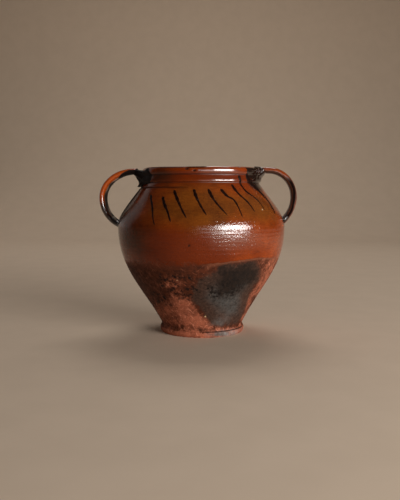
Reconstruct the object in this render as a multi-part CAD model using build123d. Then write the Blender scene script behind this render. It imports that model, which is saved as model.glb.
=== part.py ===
from build123d import *
import math
import os

# Two-handled glazed storage jar, thrown in sections and luted together.
# Millimetres and degrees. The jar stands on Z = 0 with its axis on Z, its front towards -Y
# and its handles towards -X (left) and +X (right).

# Foot: a floor disc with a rounded flange and an incised line, under a short upright waist
FLANGE_HEIGHT = 11.0
FLANGE_OVERHANG = 2.1
FLANGE_ROUND = 3.0
FLANGE_LIP_BAND = 0.5
FOOT_LINE_WIDTH = 1.2
FOOT_LINE_DEPTH = 0.9
FOOT_NECK = 2.0

# Wall: a cone that swells to the belly and turns in to a sloping shoulder
WALL = 7.0
WAIST_RADIUS = 57.5
BELLY_RADIUS = 117.2
NECK_RADIUS = 86.1
BELLY_RISE = 135.0
BELLY_JOINT_RISE = 105.0
SHOULDER_RISE = 54.0
FOOT_FLARE = 27.0
SHOULDER_SLOPE = 37.7
# How far each end pulls its curve, as a share of the rise between the ends
WAIST_PULL = 0.432
BELLY_PULL_DOWN = 0.434
BELLY_PULL_UP = 0.2543
NECK_PULL = 0.763

# Collar: a cove over the neck joint, a cordon, a groove and a rolled lip
NECK_CREASE = 0.8
NECK_COVE = 5.1
COVE_RISE = 4.0
CORDON_PROUD = 1.9
CORDON_RISE = 5.5
GROOVE_RISE = 8.0
LIP_PROUD = 1.3
LIP_RISE = 10.5
LIP_ROUND = 4.4
COLLAR_WALL = 5.3

# Handles: pulled straps, wider at the collar than at the belly
STRAP_THICKNESS = 8.6
STRAP_WIDTH_TOP = 30.0
STRAP_WIDTH_ROOT = 25.0
STRAP_ROOT_DEPTH = 14.0
HANDLE_TURN = 4.8
HANDLE_RUN = 16.0
HANDLE_TILT = 3.5
# How far each end pulls the bend, as a share of the bend's reach and drop
HANDLE_PULL = 0.55
LEFT_TOP_DROP = 4.4
LEFT_REACH = 23.0
LEFT_BEND = 37.6
LEFT_ROOT_RISE = 3.0
RIGHT_TOP_DROP = 3.5
RIGHT_REACH = 12.3
RIGHT_BEND = 36.5
RIGHT_ROOT_RISE = 11.0

# Thumb presses: a hollow across the top of each strap, next to the lip
PRESS_RADIUS = 6.0
PRESS_OUT = 6.0
LEFT_PRESS_DEPTH = 4.4
RIGHT_PRESS_DEPTH = 1.6

# Wads: clay worked out from the strap over the wall at each end of a handle
WAD_EDGE = 1.2
WAD_SINK = 2.2
UPPER_WAD_HOLLOW = 0.45
UPPER_WAD_SIDE = 9.0
LEFT_UPPER_WAD_LENGTH = 15.0
LEFT_UPPER_WAD_DOWN = 20.0
RIGHT_UPPER_WAD_LENGTH = 9.0
RIGHT_UPPER_WAD_DOWN = 8.0
LOWER_WAD_HOLLOW = 0.3
LOWER_WAD_LENGTH = 12.0
LOWER_WAD_SINK = 6.0
LOWER_WAD_SPREAD = 7.0

# Seam coils: rolls of clay pressed flat over the inside of each joint
COIL_SPREAD = 9.0
COIL_PROUD = 3.5

# Slip strokes: trailed beads that lean down the shoulder, none below a handle
STROKE_COUNT = 30
STROKE_START = -1.0
STROKE_TOP_GAP = 5.0
STROKE_DROP = 30.0
STROKE_RUN = 16.0
STROKE_BOW = 2.0
STROKE_WIDTH = 3.6
STROKE_TIP_WIDTH = 1.2
STROKE_THICKNESS = 0.8
STROKE_UNEVEN = 0.16
HANDLE_CLEAR_ANGLE = 16.0

UP = Vector(0, 0, 1)
OUT = Vector(1, 0, 0)
QUARTER_TURN = 90
WHOLE_TURN = 4 * QUARTER_TURN
# Headings of the jar's back and left side, counted from +X
BACK = QUARTER_TURN
LEFT = 2 * QUARTER_TURN


def at(radius, height):
    """A point of the jar's half section, which lies in the XZ plane."""
    return Vector(radius, 0, height)


# Heights and radii that follow from the sizes above
FLANGE_RADIUS = WAIST_RADIUS + FLANGE_OVERHANG
FOOT_HEIGHT = FLANGE_HEIGHT + FOOT_NECK
BELLY_HEIGHT = FOOT_HEIGHT + BELLY_RISE
NECK_HEIGHT = BELLY_HEIGHT + SHOULDER_RISE
COVE_HEIGHT = NECK_HEIGHT + COVE_RISE
CORDON_HEIGHT = COVE_HEIGHT + CORDON_RISE
GROOVE_HEIGHT = CORDON_HEIGHT + GROOVE_RISE
JAR_HEIGHT = GROOVE_HEIGHT + LIP_RISE
COLLAR_RADIUS = NECK_RADIUS - NECK_COVE
LIP_RADIUS = COLLAR_RADIUS + LIP_PROUD
THROAT_RADIUS = COLLAR_RADIUS - COLLAR_WALL

# Directions of the wall where it leaves the foot and where it meets the neck, going up
FLARE = math.radians(FOOT_FLARE)
SLOPE = math.radians(SHOULDER_SLOPE)
FOOT_RUN = at(math.sin(FLARE), math.cos(FLARE))
NECK_RUN = at(-math.sin(SLOPE), math.cos(SLOPE))


def wall_curves(inset):
    """The wall's two curves, foot to belly and belly to neck, moved in by an inset."""
    waist = at(WAIST_RADIUS, FOOT_HEIGHT) + at(-math.cos(FLARE), math.sin(FLARE)) * inset
    belly = at(BELLY_RADIUS - inset, BELLY_HEIGHT)
    neck = at(NECK_RADIUS, NECK_HEIGHT) + at(-math.cos(SLOPE), -math.sin(SLOPE)) * inset
    lower = Bezier(
        waist,
        waist + FOOT_RUN * (WAIST_PULL * BELLY_RISE),
        belly - UP * (BELLY_PULL_DOWN * BELLY_RISE),
        belly,
    )
    upper = Bezier(
        belly,
        belly + UP * (BELLY_PULL_UP * SHOULDER_RISE),
        neck - NECK_RUN * (NECK_PULL * SHOULDER_RISE),
        neck,
    )
    return lower, upper


def share_at_height(curve, height):
    """How far along a rising curve, from 0 to 1, it reaches a height."""
    low = 0.0
    high = 1.0
    while high - low > 1e-9:
        middle = (low + high) / 2
        if (curve @ middle).Z < height:
            low = middle
        else:
            high = middle
    return low


OUTER_LOWER, OUTER_UPPER = wall_curves(0)
INNER_LOWER, INNER_UPPER = wall_curves(WALL)
BELLY_JOINT = share_at_height(OUTER_LOWER, FOOT_HEIGHT + BELLY_JOINT_RISE)
# Where the inside of the wall, run straight down, meets the floor
WALL_START = INNER_LOWER @ 0
FLOOR_CORNER = WALL_START - FOOT_RUN * ((WALL_START.Z - FLANGE_HEIGHT) / FOOT_RUN.Z)


def foot_outline():
    """The foot disc's outside, from the axis under the floor to the crease below the wall."""
    lip_start = FLANGE_HEIGHT - FLANGE_OVERHANG
    line_top = lip_start - FLANGE_LIP_BAND
    under = Line(at(0, 0), at(FLANGE_RADIUS - FLANGE_ROUND, 0))
    edge = TangentArc(under @ 1, at(FLANGE_RADIUS, FLANGE_ROUND), tangent=OUT)
    band = Polyline(
        edge @ 1,
        at(FLANGE_RADIUS, line_top - FOOT_LINE_WIDTH),
        at(FLANGE_RADIUS - FOOT_LINE_DEPTH, line_top - FOOT_LINE_WIDTH / 2),
        at(FLANGE_RADIUS, line_top),
        at(FLANGE_RADIUS, lip_start),
    )
    lip = TangentArc(band @ 1, at(WAIST_RADIUS, FLANGE_HEIGHT), tangent=UP)
    return [under, edge, band, lip]


def waist_line():
    return Line(at(WAIST_RADIUS, FLANGE_HEIGHT), OUTER_LOWER @ 0)


def collar_outline():
    """The collar's outside, from the neck joint to the top of the lip."""
    cordon = Spline(
        at(NECK_RADIUS - NECK_CREASE, NECK_HEIGHT),
        at(COLLAR_RADIUS, COVE_HEIGHT),
        at(COLLAR_RADIUS + CORDON_PROUD, CORDON_HEIGHT),
        at(COLLAR_RADIUS, GROOVE_HEIGHT),
        tangents=[NECK_RUN, UP, UP, UP - OUT],
    )
    belt = at(LIP_RADIUS, JAR_HEIGHT - LIP_ROUND)
    under_lip = TangentArc(belt, cordon @ 1, tangent=-UP)
    over_lip = TangentArc(belt, at(LIP_RADIUS - LIP_ROUND, JAR_HEIGHT), tangent=UP)
    return [cordon, under_lip, over_lip]


def turned(edges):
    """The solid that a closed half section makes round the jar's axis, begun at the back."""
    return Rot(0, 0, BACK) * revolve(make_face(edges), Axis.Z)


def envelope():
    """Everything inside the jar's outer surface, which the handles and wads are cut to."""
    top = at(LIP_RADIUS - LIP_ROUND, JAR_HEIGHT)
    cap = Polyline(top, at(0, JAR_HEIGHT), at(0, 0))
    wall = [waist_line(), OUTER_LOWER, OUTER_UPPER, neck_ledge()]
    return turned([*foot_outline(), *wall, *collar_outline(), cap])


def neck_ledge():
    return Line(at(NECK_RADIUS, NECK_HEIGHT), at(NECK_RADIUS - NECK_CREASE, NECK_HEIGHT))


def foot_disc():
    floor = Polyline(at(WAIST_RADIUS, FLANGE_HEIGHT), at(0, FLANGE_HEIGHT), at(0, 0))
    return turned([*foot_outline(), floor])


def lower_body():
    outside = OUTER_LOWER.trim(0, BELLY_JOINT)
    inside = INNER_LOWER.trim(0, BELLY_JOINT)
    foot_joint = Polyline(at(WAIST_RADIUS, FLANGE_HEIGHT), FLOOR_CORNER, INNER_LOWER @ 0)
    belly_joint = Line(OUTER_LOWER @ BELLY_JOINT, INNER_LOWER @ BELLY_JOINT)
    return turned([waist_line(), outside, belly_joint, inside, foot_joint])


def shoulder():
    belly_joint = Line(OUTER_LOWER @ BELLY_JOINT, INNER_LOWER @ BELLY_JOINT)
    throat = at(THROAT_RADIUS, NECK_HEIGHT)
    neck_joint = Line(OUTER_UPPER @ 1, throat)
    throat_slope = Line(throat, INNER_UPPER @ 1)
    outside = [OUTER_LOWER.trim(BELLY_JOINT, 1), OUTER_UPPER]
    inside = [INNER_LOWER.trim(BELLY_JOINT, 1), INNER_UPPER]
    return turned([belly_joint, *outside, neck_joint, throat_slope, *inside])


def collar():
    lip_top = at(LIP_RADIUS - LIP_ROUND, JAR_HEIGHT)
    mouth_round = lip_top.X - THROAT_RADIUS
    mouth = TangentArc(lip_top, at(THROAT_RADIUS, JAR_HEIGHT - mouth_round), tangent=-OUT)
    throat = Line(mouth @ 1, at(THROAT_RADIUS, NECK_HEIGHT))
    neck_joint = Line(throat @ 1, at(NECK_RADIUS - NECK_CREASE, NECK_HEIGHT))
    return turned([*collar_outline(), mouth, throat, neck_joint])


def seam_coil(joint, run, *neighbours):
    """A roll of clay on the inside of a joint, flattened along the wall's run there."""
    plane = Plane(origin=joint, x_dir=run, z_dir=(0, -1, 0))
    roll = Rot(0, 0, BACK) * revolve(plane * Ellipse(COIL_SPREAD, COIL_PROUD), Axis.Z)
    for piece in neighbours:
        roll -= piece
    return roll


def strap_plane(centre, run):
    """A plane across a strap, with its width along Y."""
    return Plane(origin=centre, x_dir=(0, 1, 0), z_dir=run)


def handle_path(top_drop, reach, bend, root_rise):
    """A handle's middle line: out of the collar, over a bend and down into the belly."""
    tilt = math.radians(HANDLE_TILT)
    lead = at(math.cos(tilt), -math.sin(tilt))
    spring = at(COLLAR_RADIUS + HANDLE_RUN, JAR_HEIGHT - top_drop)
    widest = at(BELLY_RADIUS + reach, spring.Z - bend)
    run = Line(spring - lead * ((spring.X - THROAT_RADIUS) / lead.X), spring)
    over = Bezier(
        spring,
        spring + lead * (HANDLE_PULL * (widest.X - spring.X)),
        widest + UP * (HANDLE_PULL * bend),
        widest,
    )
    down = TangentArc(widest, at(BELLY_RADIUS, BELLY_HEIGHT + root_rise), tangent=-UP)
    root = Line(down @ 1, down @ 1 + (down % 1) * STRAP_ROOT_DEPTH)
    return [run, over, down, root]


def run_point(path, radius):
    """The point of a handle's straight upper end at a distance from the jar's axis."""
    run = path[0]
    start = (run @ 0).X
    return run @ ((radius - start) / ((run @ 1).X - start))


def strap(path):
    """A handle before it is cut to the jar, tapered from the collar to the belly."""
    line = Wire(path)
    top = strap_plane(line @ 0, line % 0) * SlotOverall(STRAP_WIDTH_TOP, STRAP_THICKNESS)
    root = strap_plane(line @ 1, line % 1) * SlotOverall(STRAP_WIDTH_ROOT, STRAP_THICKNESS)
    return sweep([top, root], path=line, multisection=True)


def thumb_press(path, depth):
    """The hollow that a thumb pressed across a strap next to the lip."""
    low = run_point(path, COLLAR_RADIUS + PRESS_OUT) + UP * (STRAP_THICKNESS / 2 - depth)
    roll = Rot(QUARTER_TURN, 0, 0) * Cylinder(PRESS_RADIUS, 2 * STRAP_WIDTH_TOP)
    return Pos(low + UP * PRESS_RADIUS) * roll


def upper_wad(path, length, down):
    """A saddle of clay under and beside a strap's upper end, hollowed towards its edge."""
    brim = STRAP_THICKNESS / 2 - WAD_SINK
    sections = []
    for radius, side, below in (
        (THROAT_RADIUS, UPPER_WAD_SIDE, down),
        (COLLAR_RADIUS + length / 2, UPPER_WAD_SIDE * UPPER_WAD_HOLLOW, down * UPPER_WAD_HOLLOW),
        (COLLAR_RADIUS + length, WAD_EDGE, WAD_EDGE),
    ):
        depth = brim + STRAP_THICKNESS / 2 + below
        middle = run_point(path, radius) + UP * (brim - depth / 2)
        sections.append(strap_plane(middle, OUT) * SlotOverall(STRAP_WIDTH_TOP + 2 * side, depth))
    return loft(sections)


def lower_wad_section(plane, spread):
    return plane * SlotOverall(STRAP_WIDTH_ROOT + 2 * spread, STRAP_THICKNESS + 2 * spread)


def lower_wad(path):
    """A flared ring of clay round a strap's lower end."""
    down = path[2]
    root_run = down % 1
    sunk = down @ 1 - root_run * (LOWER_WAD_SINK / root_run.X)
    waist = LOWER_WAD_SPREAD * LOWER_WAD_HOLLOW
    spreads = {LOWER_WAD_LENGTH: WAD_EDGE, LOWER_WAD_LENGTH / 2: waist}
    sections = []
    for back, spread in spreads.items():
        share = 1 - back / down.length
        sections.append(lower_wad_section(strap_plane(down @ share, down % share), spread))
    sections.append(lower_wad_section(strap_plane(sunk, -OUT), LOWER_WAD_SPREAD))
    return loft(sections)


def handle_pieces(side, heading, line, press_depth, wad_length, wad_down):
    """One handle and its two wads, cut to the jar and turned to their heading."""
    path = handle_path(*line)
    body = envelope()
    band = strap(path)
    press = thumb_press(path, press_depth)
    turn = Rot(0, 0, heading)
    return {
        f"{side}_handle": turn * (band - body - press),
        f"{side}_upper_wad": turn * (upper_wad(path, wad_length, wad_down) - body - band - press),
        f"{side}_lower_wad": turn * (lower_wad(path) - body - band),
    }


def stroke_outline(index):
    """A stroke's face, flat: a blunt top, a bowed lean to the right and a narrow tip."""
    uneven = 1 + STROKE_UNEVEN * math.sin(index * index)
    run = STROKE_RUN * uneven
    top = NECK_HEIGHT - STROKE_TOP_GAP
    tip = top - STROKE_DROP * uneven
    half = STROKE_WIDTH / 2
    half_tip = STROKE_TIP_WIDTH / 2
    middle = (top + tip) / 2
    left = Spline((-run / 2 - half, top), (-STROKE_BOW - half, middle), (run / 2 - half_tip, tip))
    right = Spline((-run / 2 + half, top), (-STROKE_BOW + half, middle), (run / 2 + half_tip, tip))
    blunt = ThreePointArc(left @ 0, (-run / 2, top + half), right @ 0)
    return make_face([left, Line(left @ 1, right @ 1), right, blunt])


def slip_strokes():
    """Strokes of slip on the shoulder, each a slice of one thin coat."""
    coat_out = wall_curves(-STROKE_THICKNESS)[1]
    coat = turned(
        [OUTER_UPPER, coat_out, Line(OUTER_UPPER @ 0, coat_out @ 0), Line(OUTER_UPPER @ 1, coat_out @ 1)]
    )
    handles = (QUARTER_TURN - HANDLE_TURN, 3 * QUARTER_TURN - HANDLE_TURN)
    strokes = []
    for index in range(STROKE_COUNT):
        angle = (STROKE_START + index * WHOLE_TURN / STROKE_COUNT) % WHOLE_TURN
        if min(abs(angle - handle) for handle in handles) < HANDLE_CLEAR_ANGLE:
            continue
        turn = math.radians(angle)
        plane = Plane(
            origin=(0, 0, 0),
            x_dir=(math.cos(turn), math.sin(turn), 0),
            z_dir=(math.sin(turn), -math.cos(turn), 0),
        )
        punch = extrude(plane * stroke_outline(index), BELLY_RADIUS + WALL)
        strokes.extend((coat & punch).solids())
    return Compound(children=strokes)


def main():
    pieces = {
        "foot_disc": foot_disc(),
        "lower_body": lower_body(),
        "shoulder": shoulder(),
        "collar": collar(),
    }
    foot, lower, upper, ring = pieces.values()
    joint_run = INNER_LOWER % BELLY_JOINT
    pieces["foot_seam_coil"] = seam_coil(FLOOR_CORNER, FOOT_RUN, foot, lower)
    pieces["belly_seam_coil"] = seam_coil(INNER_LOWER @ BELLY_JOINT, joint_run, lower, upper)
    pieces["neck_seam_coil"] = seam_coil(at(THROAT_RADIUS, NECK_HEIGHT), UP, upper, ring)
    left_line = (LEFT_TOP_DROP, LEFT_REACH, LEFT_BEND, LEFT_ROOT_RISE)
    left_end = (LEFT_PRESS_DEPTH, LEFT_UPPER_WAD_LENGTH, LEFT_UPPER_WAD_DOWN)
    right_line = (RIGHT_TOP_DROP, RIGHT_REACH, RIGHT_BEND, RIGHT_ROOT_RISE)
    right_end = (RIGHT_PRESS_DEPTH, RIGHT_UPPER_WAD_LENGTH, RIGHT_UPPER_WAD_DOWN)
    pieces.update(handle_pieces("left", LEFT - HANDLE_TURN, left_line, *left_end))
    pieces.update(handle_pieces("right", -HANDLE_TURN, right_line, *right_end))
    pieces["slip_strokes"] = slip_strokes()

    os.makedirs("parts", exist_ok=True)
    for name, piece in pieces.items():
        piece.label = name
        export_step(piece, f"parts/{name}.step")


main()
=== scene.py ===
import math

import bpy
import numpy as np
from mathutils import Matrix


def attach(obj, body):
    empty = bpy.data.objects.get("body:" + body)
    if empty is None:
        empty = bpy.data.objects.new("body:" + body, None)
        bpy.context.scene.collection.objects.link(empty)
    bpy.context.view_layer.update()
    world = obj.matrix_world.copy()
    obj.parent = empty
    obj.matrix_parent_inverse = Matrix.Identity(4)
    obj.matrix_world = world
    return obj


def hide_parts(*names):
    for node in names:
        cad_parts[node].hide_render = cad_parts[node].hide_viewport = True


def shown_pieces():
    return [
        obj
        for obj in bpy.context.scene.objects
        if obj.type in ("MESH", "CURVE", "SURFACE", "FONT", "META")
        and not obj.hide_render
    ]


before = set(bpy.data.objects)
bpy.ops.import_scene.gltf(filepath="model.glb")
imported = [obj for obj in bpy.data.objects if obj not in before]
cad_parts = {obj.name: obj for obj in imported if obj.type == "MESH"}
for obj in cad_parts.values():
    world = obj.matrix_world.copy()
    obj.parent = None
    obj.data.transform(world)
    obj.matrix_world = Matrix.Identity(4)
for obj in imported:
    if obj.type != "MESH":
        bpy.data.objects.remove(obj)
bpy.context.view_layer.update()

# Sizes are in millimetres, as in the part's source. Azimuth is in degrees from the jar's front, -Y,
# towards +X. Meshes are written in metres.
MM = 0.001

# The jar's half section. A pull sets how full a curve is, as a share of its rise.
FLANGE_HEIGHT = 11.0
FLANGE_OVERHANG = 2.1
FLANGE_SWELL = 2.55
FLANGE_SWELL_HEIGHT = 5.6
FOOT_LINE_HEIGHT = 8.0
FOOT_LINE_WIDTH = 1.2
FOOT_LINE_DEPTH = 0.9
FOOT_NECK = 2.0
FOOT_LEAN = 1.2
WALL = 7.0
WAIST_RADIUS = 57.5
BELLY_RADIUS = 117.2
NECK_RADIUS = 86.1
BELLY_RISE = 135.0
BELLY_JOINT_RISE = 105.0
SHOULDER_RISE = 54.0
FOOT_FLARE = math.radians(27.0)
SHOULDER_SLOPE = math.radians(37.7)
WAIST_PULL = 0.432
BELLY_PULL_DOWN = 0.434
BELLY_PULL_UP = 0.2543
NECK_PULL = 0.763
COLLAR_RADIUS = NECK_RADIUS - 5.1
COLLAR_WALL = 5.3
COVE_RISE = 6.6
COVE_PROUD = 0.4
COVE_SLOPE = math.radians(22.0)
COVE_PULL = 0.4
CORDON_PROUD = 1.9
CORDON_RISE = 2.3
CORDON_PULL = 0.45
CORDON_UNDERCUT = 0.2
GROOVE_RISE = 8.6
GROOVE_PULL = 0.3
GROOVE_LEAN = 0.3
LIP_RADIUS = COLLAR_RADIUS + 1.3
LIP_RISE = 10.5
LIP_ROUND = 4.4
LIP_FLARE = (1.2, 1.4)
LIP_UNDER = 2.6
FLANGE_RADIUS = WAIST_RADIUS + FLANGE_OVERHANG
FOOT_HEIGHT = FLANGE_HEIGHT + FOOT_NECK
BELLY_HEIGHT = FOOT_HEIGHT + BELLY_RISE
NECK_HEIGHT = BELLY_HEIGHT + SHOULDER_RISE
COVE_HEIGHT = NECK_HEIGHT + COVE_RISE
CORDON_HEIGHT = COVE_HEIGHT + CORDON_RISE
GROOVE_HEIGHT = CORDON_HEIGHT + GROOVE_RISE
JAR_HEIGHT = GROOVE_HEIGHT + LIP_RISE
THROAT_RADIUS = COLLAR_RADIUS - COLLAR_WALL

# How finely the pieces are divided: columns round the jar, the rows' spacing, the small ring that is left
# in the middle of a disc, and points between two of a route's own
COLUMNS = 480
LOWER_STEP = 1.1
UPPER_STEP = 1.0
COLLAR_STEP = 0.6
INSIDE_STEP = 3.0
THROAT_STEP = 2.0
FLOOR_EYE = 2.0
ROUTE_STEPS = 40
AZIMUTHS = np.arange(COLUMNS) * 360 / COLUMNS - 180


def srgb(*colour):
    """A screen colour, from 0 to 255, in the linear values that shaders use."""
    share = np.array(colour) / 255
    linear = np.where(share <= 0.04045, share / 12.92, ((share + 0.055) / 1.055) ** 2.4)
    return (*linear.tolist(), 1.0)


def ease(low, high, value):
    """0 below low, 1 above high and a smooth step between."""
    share = np.clip((value - low) / (high - low), 0, 1)
    return share * share * (3 - 2 * share)


def band(height, middle, half):
    """1 at a height, fading to nothing above and below it."""
    return np.exp(-(((height - middle) / half) ** 2))


def stretch(azimuth, start, full, fading, end):
    """1 along a stretch of azimuth, rising from start to full and falling from fading to end."""
    return ease(start, full, azimuth) * ease(end, fading, azimuth)


def wrapped(azimuth):
    """The same azimuth between -180 and 180."""
    return (azimuth + 180) % 360 - 180


def lattice(ix, iy, iz, seed):
    """A fixed pseudo-random value from -1 to 1 for each whole-number point."""
    mask = 0xFFFFFFFF
    n = (ix * 374761393 + iy * 668265263 + iz * 1440662683 + seed * 974634777) & mask
    n = ((n ^ (n >> 13)) * 1274126177) & mask
    return ((n ^ (n >> 16)) & 0xFFFF) / 32767.5 - 1


def noise(points, size, seed):
    """Smooth noise from -1 to 1 whose lumps are about one size across."""
    scaled = points / size
    base = np.floor(scaled).astype(np.int64)
    part = scaled - base
    part = part * part * (3 - 2 * part)
    total = 0
    for corner in np.ndindex(2, 2, 2):
        x, y, z = np.moveaxis(np.where(corner, part, 1 - part), -1, 0)
        total = total + x * y * z * lattice(*np.moveaxis(base + corner, -1, 0), seed)
    return total


def layered(points, layers):
    """Layers of noise added up, each given as depth, lump size and seed."""
    return sum(depth * noise(points, size, seed) for depth, size, seed in layers)


def bezier(points, count):
    """Points along the curve of four control points."""
    a, b, c, d = (np.array(p, float) for p in points)
    t = np.linspace(0, 1, count)[:, None]
    u = 1 - t
    return u**3 * a + 3 * u * u * t * b + 3 * u * t * t * c + t**3 * d


def arc(centre, radius, start, end, count):
    """Points along a round arc of a section, between two angles in degrees."""
    angles = np.radians(np.linspace(start, end, count))
    return np.stack([centre[0] + radius * np.cos(angles), centre[1] + radius * np.sin(angles)], 1)


def slid(point, slope, run):
    """A point of a section moved along a slope, which counts outwards from straight up."""
    return (point[0] + math.sin(slope) * run, point[1] + math.cos(slope) * run)


def evenly(points, step):
    """A polyline resampled at about one step, with its ends kept."""
    points = np.array(points, float)
    run = np.concatenate([[0], np.cumsum(np.hypot(*np.diff(points, axis=0).T))])
    count = max(2, int(round(run[-1] / step)) + 1)
    where = np.linspace(0, run[-1], count)
    return np.stack([np.interp(where, run, points[:, i]) for i in (0, 1)], 1)


def smooth_route(route, count):
    """Points on a smooth line that passes through a route's own points."""
    padded = np.vstack([2 * route[0] - route[1], route, 2 * route[-1] - route[-2]])
    line = []
    for i in range(1, len(padded) - 2):
        p0, p1, p2, p3 = padded[i - 1 : i + 3]
        t = np.linspace(0, 1, ROUTE_STEPS)[:, None]
        bend = (2 * p0 - 5 * p1 + 4 * p2 - p3) * t**2 + (3 * p1 - p0 - 3 * p2 + p3) * t**3
        line.append(0.5 * (2 * p1 + (p2 - p0) * t + bend))
    line = np.vstack(line)
    return line[np.linspace(0, len(line) - 1, count).round().astype(int)]


def level(start, end, height, count):
    """A level line of a section, from one radius to another."""
    return np.stack([np.linspace(start, end, count), np.full(count, height)], 1)


def place(azimuth, radius, height):
    """Points in the jar's frame."""
    angle = np.radians(azimuth)
    return np.stack([radius * np.sin(angle), -radius * np.cos(angle), height], -1)


def wall_curves(inset):
    """The lower and the upper curve of the wall, an inset in from its outside."""
    waist = (WAIST_RADIUS - math.cos(FOOT_FLARE) * inset, FOOT_HEIGHT + math.sin(FOOT_FLARE) * inset)
    belly = (BELLY_RADIUS - inset, BELLY_HEIGHT)
    neck = (
        NECK_RADIUS - math.cos(SHOULDER_SLOPE) * inset,
        NECK_HEIGHT - math.sin(SHOULDER_SLOPE) * inset,
    )
    below = (belly[0], belly[1] - BELLY_PULL_DOWN * BELLY_RISE)
    above = (belly[0], belly[1] + BELLY_PULL_UP * SHOULDER_RISE)
    lower = bezier([waist, slid(waist, FOOT_FLARE, WAIST_PULL * BELLY_RISE), below, belly], 400)
    upper = bezier([belly, above, slid(neck, -SHOULDER_SLOPE, -NECK_PULL * SHOULDER_RISE), neck], 300)
    return lower, upper


OUTER_LOWER, OUTER_UPPER = wall_curves(0)
INNER_LOWER, INNER_UPPER = wall_curves(WALL)
JOINT_HEIGHT = FOOT_HEIGHT + BELLY_JOINT_RISE
JOINT_ROW = int(np.searchsorted(OUTER_LOWER[:, 1], JOINT_HEIGHT))
WALL_FOOT = (WAIST_RADIUS, FLANGE_HEIGHT)
FLOOR_CORNER = (
    INNER_LOWER[0, 0] - math.tan(FOOT_FLARE) * (INNER_LOWER[0, 1] - FLANGE_HEIGHT),
    FLANGE_HEIGHT,
)


def collar_outside():
    """The collar's outside: a cove, a cordon, a groove and a rolled lip."""
    neck = (NECK_RADIUS, NECK_HEIGHT)
    top = (COLLAR_RADIUS + COVE_PROUD, COVE_HEIGHT)
    crest = (COLLAR_RADIUS + CORDON_PROUD, CORDON_HEIGHT)
    groove = (COLLAR_RADIUS, GROOVE_HEIGHT)
    belt = (LIP_RADIUS, JAR_HEIGHT - LIP_ROUND)
    pull = COVE_RISE * COVE_PULL
    cove = bezier([neck, slid(neck, -SHOULDER_SLOPE, pull), slid(top, -COVE_SLOPE, -pull), top], 24)
    pull = CORDON_RISE * CORDON_PULL
    up = bezier([top, (top[0] - CORDON_UNDERCUT, top[1] + pull), (crest[0], crest[1] - pull), crest], 16)
    pull = GROOVE_RISE * GROOVE_PULL
    into_groove = (groove[0] + GROOVE_LEAN, groove[1] - pull)
    down = bezier([crest, (crest[0], crest[1] + pull), into_groove, groove], 24)
    out_of_groove = (groove[0] + LIP_FLARE[0], groove[1] + LIP_FLARE[1])
    under = bezier([groove, out_of_groove, (belt[0], belt[1] - LIP_UNDER), belt], 24)
    lip = arc((LIP_RADIUS - LIP_ROUND, belt[1]), LIP_ROUND, 0, 90, 16)
    return np.vstack([cove, up[1:], down[1:], under[1:], lip[1:]])


COLLAR_OUTSIDE = collar_outside()
OUTSIDE = np.vstack([[WALL_FOOT], OUTER_LOWER, OUTER_UPPER[1:], COLLAR_OUTSIDE])


def outside_radius(height):
    """The plain section's radius at a height."""
    return np.interp(height, OUTSIDE[:, 1], OUTSIDE[:, 0])


# The edge of the glaze: azimuth and height
GLAZE_LINE = (
    (-165, 105), (-130, 107), (-95, 101), (-54, 103), (-40, 102.6), (-23, 104.3), (-3, 105.3),
    (7, 106.9), (25, 109.3), (36, 111.2), (43, 111.8), (53, 109.4), (66, 107), (105, 101), (140, 107),
)
# How far that edge fades: azimuth and millimetres
GLAZE_FADE = (
    (-150, 3), (-95, 9), (-50, 20), (-22, 20), (-6, 10), (6, 2), (18, 1), (64, 1), (110, 2), (150, 3),
)

# How the thrown wall departs from its section. Noise is in layers of depth, lump size and seed. Waves
# round the jar are given as depth, number, start in radians and twist for each millimetre of height.
OUT_OF_ROUND = ((0.35, 2, 0.7, 0), (0.22, 3, 2.0, 1 / 90))
RIM_WAVES = ((0.15, 1, 0.4, 0), (-0.45, 2, math.pi / 2, 0), (0.14, 5, 0, 0))
GLAZE_WAVER = ((0.9, 24, 3), (0.4, 7, 4))
RIDGE_WAVER = ((1.1, 46, 11),)
RIDGE_FADING = ((0.45, 30, 12),)
WALL_LUMPS = ((0.22, 26, 13), (0.07, 8, 14))
BARE_GRAIN = ((0.10, 3.2, 15), (0.07, 1.7, 16))
INSIDE_LUMPS = ((0.3, 18, 31),)
# Turning ridges: depth, pitch, turns of their spiral, share of the waver
RIDGES = ((0.06, 5.3, 1, 1), (0.025, 2.3, -1, 2))
RIDGE_MEAN = 0.55
RIDGES_SMOOTHED = 0.6
INSIDE_RING_DEPTH = 0.28
INSIDE_RING_PITCH = 7.5
GLAZE_COAT = 0.32
GLAZE_BEAD = 0.10
MEAN_PROUD = 0.25
# Marks of the belly joint: depth, height, half height
JOINT_MARKS = ((-0.16, 119.5, 1.1), (0.10, 123.5, 2.2))
# The crease where the collar stands on the shoulder, and the stretch where it is open
CREASE_HEIGHT = NECK_HEIGHT + 0.6
CREASE_HALF = 1.0
CREASE_DEPTH = 0.7
CREASE_STRETCH = (-120, -100, -22, -6)
RIM_DROP = 0.35

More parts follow.
